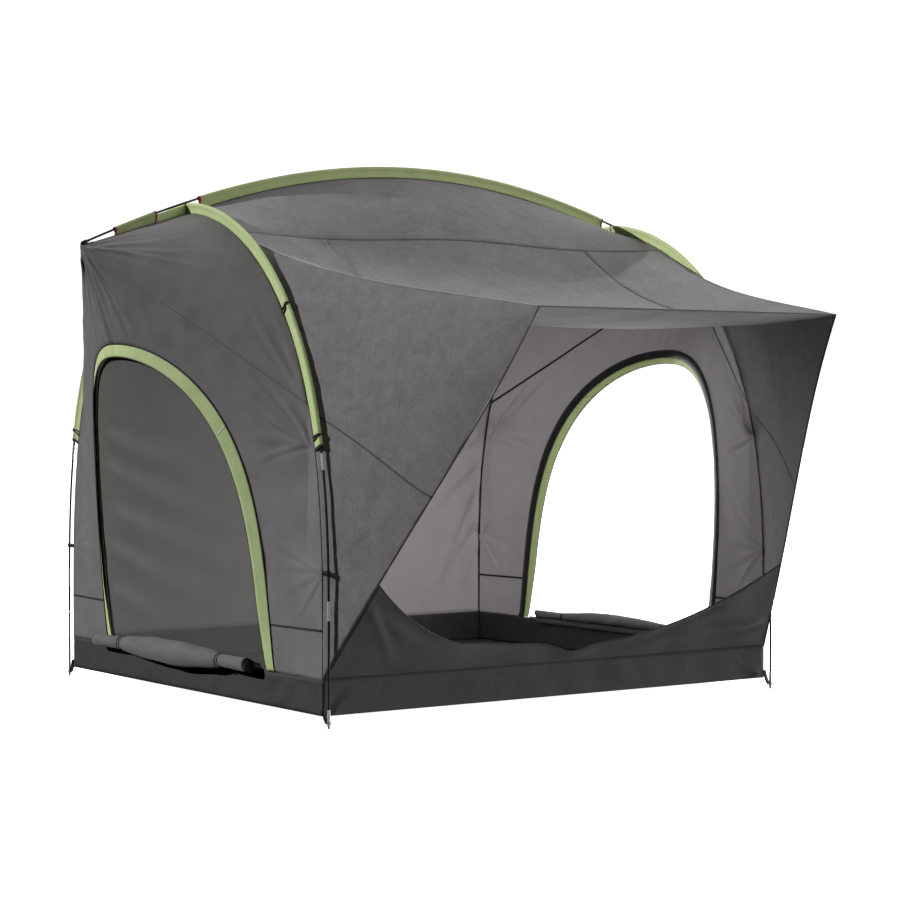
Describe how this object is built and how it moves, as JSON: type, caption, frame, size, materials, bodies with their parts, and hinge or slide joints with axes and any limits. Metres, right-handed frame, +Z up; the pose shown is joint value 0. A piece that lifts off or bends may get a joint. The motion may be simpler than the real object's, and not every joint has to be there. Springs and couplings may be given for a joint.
{
  "type": "tailgate tent",
  "caption": "Standing vehicle-awning tent with crossed arch poles, an open hooded front, arched side doorways and a tub groundsheet.",
  "frame": {"origin": "centre of the groundsheet's underside, on the ground", "axes": "+Z up, X along the open front from left to right, -Y toward the open hooded front"},
  "size_m": [3.3004, 3.039, 2.3142],
  "materials": {
    "grey_fabric": "heathered grey coated polyester, matt",
    "tub_fabric": "dark grey coated groundsheet cloth, matt",
    "lime_fabric": "pale lime woven polyester, matt",
    "screen_mesh": "black fly-screen netting",
    "pole_black": "black glass-fibre pole with bare metal ferrules",
    "webbing_black": "black woven webbing"
  },
  "bodies": {
    "root": {"floor": "tub_fabric", "front_skirt": "tub_fabric", "rear_skirt": "tub_fabric", "left_skirt": "tub_fabric", "right_skirt": "tub_fabric", "front_lip": "tub_fabric", "left_wall": "grey_fabric", "right_wall": "grey_fabric", "rear_wall": "grey_fabric", "front_left_panel": "grey_fabric", "front_right_panel": "grey_fabric", "left_eave_front": "grey_fabric", "left_eave_rear": "grey_fabric", "right_eave_front": "grey_fabric", "right_eave_rear": "grey_fabric", "roof_front": "grey_fabric", "roof_rear": "grey_fabric", "hood_centre": "grey_fabric", "hood_left": "grey_fabric", "hood_right": "grey_fabric", "left_door_mesh": "screen_mesh", "left_door_trim": "lime_fabric", "right_door_trim": "lime_fabric", "left_door_roll": "grey_fabric", "right_door_roll": "grey_fabric", "left_arch_pole": "pole_black", "right_arch_pole": "pole_black", "ridge_pole": "pole_black", "left_arch_sleeve_front": "lime_fabric", "left_arch_sleeve_rear": "lime_fabric", "right_arch_sleeve_front": "lime_fabric", "right_arch_sleeve_rear": "lime_fabric", "ridge_sleeve_centre": "lime_fabric", "ridge_sleeve_left": "lime_fabric", "ridge_sleeve_right": "lime_fabric", "left_eave_cap": "webbing_black", "right_eave_cap": "webbing_black", "front_left_leg_clip": "webbing_black", "front_right_leg_clip": "webbing_black", "rear_left_leg_clip": "webbing_black", "rear_right_leg_clip": "webbing_black", "front_left_foot_strap": "webbing_black", "front_right_foot_strap": "webbing_black", "rear_left_foot_strap": "webbing_black", "rear_right_foot_strap": "webbing_black"}
  },
  "joints": []
}
